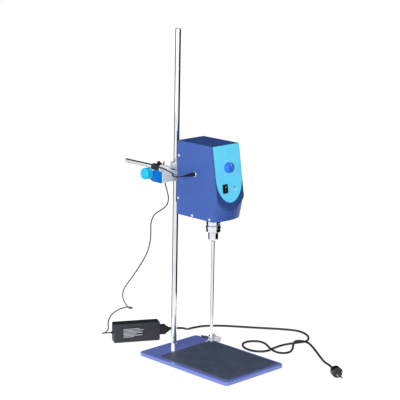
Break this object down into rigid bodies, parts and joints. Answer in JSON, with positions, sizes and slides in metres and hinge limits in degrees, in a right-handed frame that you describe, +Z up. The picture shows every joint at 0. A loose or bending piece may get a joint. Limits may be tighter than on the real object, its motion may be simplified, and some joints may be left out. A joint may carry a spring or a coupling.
{
  "type": "overhead stirrer",
  "caption": "Bench overhead stirrer: geared motor head with keyed chuck and paddle on a level arm, cross clamp, rod and plate stand, with mains adaptor and leads.",
  "frame": {"origin": "centre of the stand plate's underside, on the bench", "axes": "+Z up along the rod, the head faces -Y, +X to the head's right as seen from its back"},
  "size_m": [0.4518, 0.7708, 0.8],
  "materials": {
    "blue_violet_paint": "gloss",
    "blue_enamel": "gloss",
    "black_rubber": "matt",
    "grey_rubber": "matt",
    "chrome": "polished",
    "cast_alloy": "satin",
    "steel": "bright",
    "zinc_steel": "satin",
    "cyan_plastic": "gloss",
    "knob_blue": "gloss",
    "label_film": "satin",
    "fascia_plastic": "satin",
    "black_plastic": "satin",
    "cable_black": "satin",
    "brass": "bright",
    "board_green": "satin",
    "lamp_red": "clear",
    "motor_steel": "satin"
  },
  "bodies": {
    "stand": {"base_plate": "blue_violet_paint", "base_pad": "black_rubber", "plate_mat": "grey_rubber", "rod_collar": "chrome", "adaptor_case": "black_plastic", "adaptor_inlet": "black_plastic", "adaptor_relief": "cable_black", "mains_connector": "black_plastic", "mains_lead": "cable_black", "mains_plug": "black_plastic", "plug_pins": "brass", "lead_foot": "cable_black"},
    "mast": {"stand_rod": "chrome", "rod_screw": "zinc_steel", "lead_hang": "cable_black"},
    "clamp": {"clamp_block": "cast_alloy", "clamp_boss": "knob_blue", "lead_from_coil": "cable_black"},
    "arm_screw": {"arm_screw": "zinc_steel"},
    "arm_knob": {"arm_knob": "cyan_plastic"},
    "rod_clamp_screw": {"rod_clamp_screw": "zinc_steel"},
    "rod_knob": {"rod_knob": "cyan_plastic"},
    "arm": {"arm_bar": "chrome", "arm_circlip": "zinc_steel", "lead_coil": "cable_black", "coil_tie": "black_plastic", "lead_to_head": "cable_black"},
    "speed_knob": {"speed_knob": "knob_blue", "control_shaft": "steel"},
    "switch_rocker": {"switch_rocker": "black_plastic"},
    "rotor": {"motor_pinion": "steel"},
    "chuck": {"spindle": "steel", "spindle_gear": "brass", "chuck_core": "steel", "stirring_shaft": "steel", "impeller": "steel"},
    "chuck_sleeve": {"chuck_sleeve": "steel"},
    "chuck_jaw_1": {"chuck_jaw_1": "steel"},
    "chuck_jaw_2": {"chuck_jaw_2": "steel"},
    "chuck_jaw_3": {"chuck_jaw_3": "steel"},
    "head": {"arm_flange": "cast_alloy", "back_panel": "blue_enamel", "bearing_housing": "cast_alloy", "bottom_plate": "blue_enamel", "case_screws": "steel", "control_board": "board_green", "drive_screws": "steel", "fascia_panel": "fascia_plastic", "flange_screws": "steel", "housing_cover": "blue_enamel", "label_sheet": "label_film", "motor_can": "motor_steel", "motor_plate": "zinc_steel", "plate_posts": "zinc_steel", "power_jack": "steel", "power_lamp": "lamp_red", "power_plug": "black_plastic", "speed_control": "zinc_steel", "spindle_bearings": "steel", "switch_body": "black_plastic"}
  },
  "joints": [
    {"name": "head_swing", "type": "hinge", "parent": "stand", "child": "mast", "pos_m": [-0.009, 0.1204, 0.01], "axis": [0, 0, 1], "range_deg": [-45, 45], "deforming": ["lead_foot"]},
    {"name": "head_height", "type": "slide", "parent": "mast", "child": "clamp", "axis": [0, 0, 1], "range_m": [-0.04, 0.28], "deforming": ["lead_hang"]},
    {"name": "arm_reach", "type": "slide", "parent": "clamp", "child": "arm", "axis": [0, 1, 0], "range_m": [0, 0.028], "deforming": ["lead_from_coil"]},
    {"name": "head_tilt", "type": "hinge", "parent": "arm", "child": "head", "pos_m": [-0.044, 0.066, 0.465], "axis": [0, 1, 0], "range_deg": [-30, 30], "deforming": ["lead_to_head"]},
    {"name": "chuck_spin", "type": "hinge", "parent": "head", "child": "chuck", "pos_m": [-0.015, -0.015, 0.3655], "axis": [0, 0, 1], "continuous": true},
    {"name": "motor_spin", "type": "hinge", "parent": "head", "child": "rotor", "pos_m": [-0.015, 0.02, 0.404], "axis": [0, 0, 1], "continuous": true},
    {"name": "speed_knob_turn", "type": "hinge", "parent": "head", "child": "speed_knob", "pos_m": [-0.0145, -0.05738, 0.49274], "axis": [0, -0.9861, 0.1662], "range_deg": [-170, 110]},
    {"name": "power_switch_rock", "type": "hinge", "parent": "head", "child": "switch_rocker", "pos_m": [-0.0315, -0.0658, 0.44579], "axis": [1, 0, 0], "range_deg": [-18, 0]},
    {"name": "chuck_sleeve_turn", "type": "hinge", "parent": "chuck", "child": "chuck_sleeve", "pos_m": [-0.015, -0.015, 0.34], "axis": [0, 0, 1], "range_deg": [0, 720]},
    {"name": "jaw_1_slide", "type": "slide", "parent": "chuck", "child": "chuck_jaw_1", "axis": [0, 0.1736, 0.9848], "range_m": [0, 0.004]},
    {"name": "jaw_2_slide", "type": "slide", "parent": "chuck", "child": "chuck_jaw_2", "axis": [-0.1504, -0.0868, 0.9848], "range_m": [0, 0.004]},
    {"name": "jaw_3_slide", "type": "slide", "parent": "chuck", "child": "chuck_jaw_3", "axis": [0.1504, -0.0868, 0.9848], "range_m": [0, 0.004]},
    {"name": "arm_screw_travel", "type": "slide", "parent": "clamp", "child": "arm_screw", "axis": [-1, 0, 0], "range_m": [0, 0.0025]},
    {"name": "arm_knob_turn", "type": "hinge", "parent": "arm_screw", "child": "arm_knob", "pos_m": [-0.094, 0.1204, 0.4628], "axis": [1, 0, 0], "range_deg": [0, 720]},
    {"name": "rod_screw_travel", "type": "slide", "parent": "clamp", "child": "rod_clamp_screw", "axis": [1, 0, 0], "range_m": [0, 0.0025]},
    {"name": "rod_knob_turn", "type": "hinge", "parent": "rod_clamp_screw", "child": "rod_knob", "pos_m": [0.0152, 0.1204, 0.448], "axis": [-1, 0, 0], "range_deg": [0, 720]}
  ],
  "couplings": [
    {"joint": "motor_spin", "follows": "chuck_spin", "ratio": -3},
    {"joint": "arm_knob_turn", "follows": "arm_screw_travel", "rad_per_m": 5026.5},
    {"joint": "rod_knob_turn", "follows": "rod_screw_travel", "rad_per_m": 5026.5},
    {"joint": "jaw_1_slide", "follows": "chuck_sleeve_turn", "m_per_rad": 0.00031831},
    {"joint": "jaw_2_slide", "follows": "chuck_sleeve_turn", "m_per_rad": 0.00031831},
    {"joint": "jaw_3_slide", "follows": "chuck_sleeve_turn", "m_per_rad": 0.00031831}
  ]
}
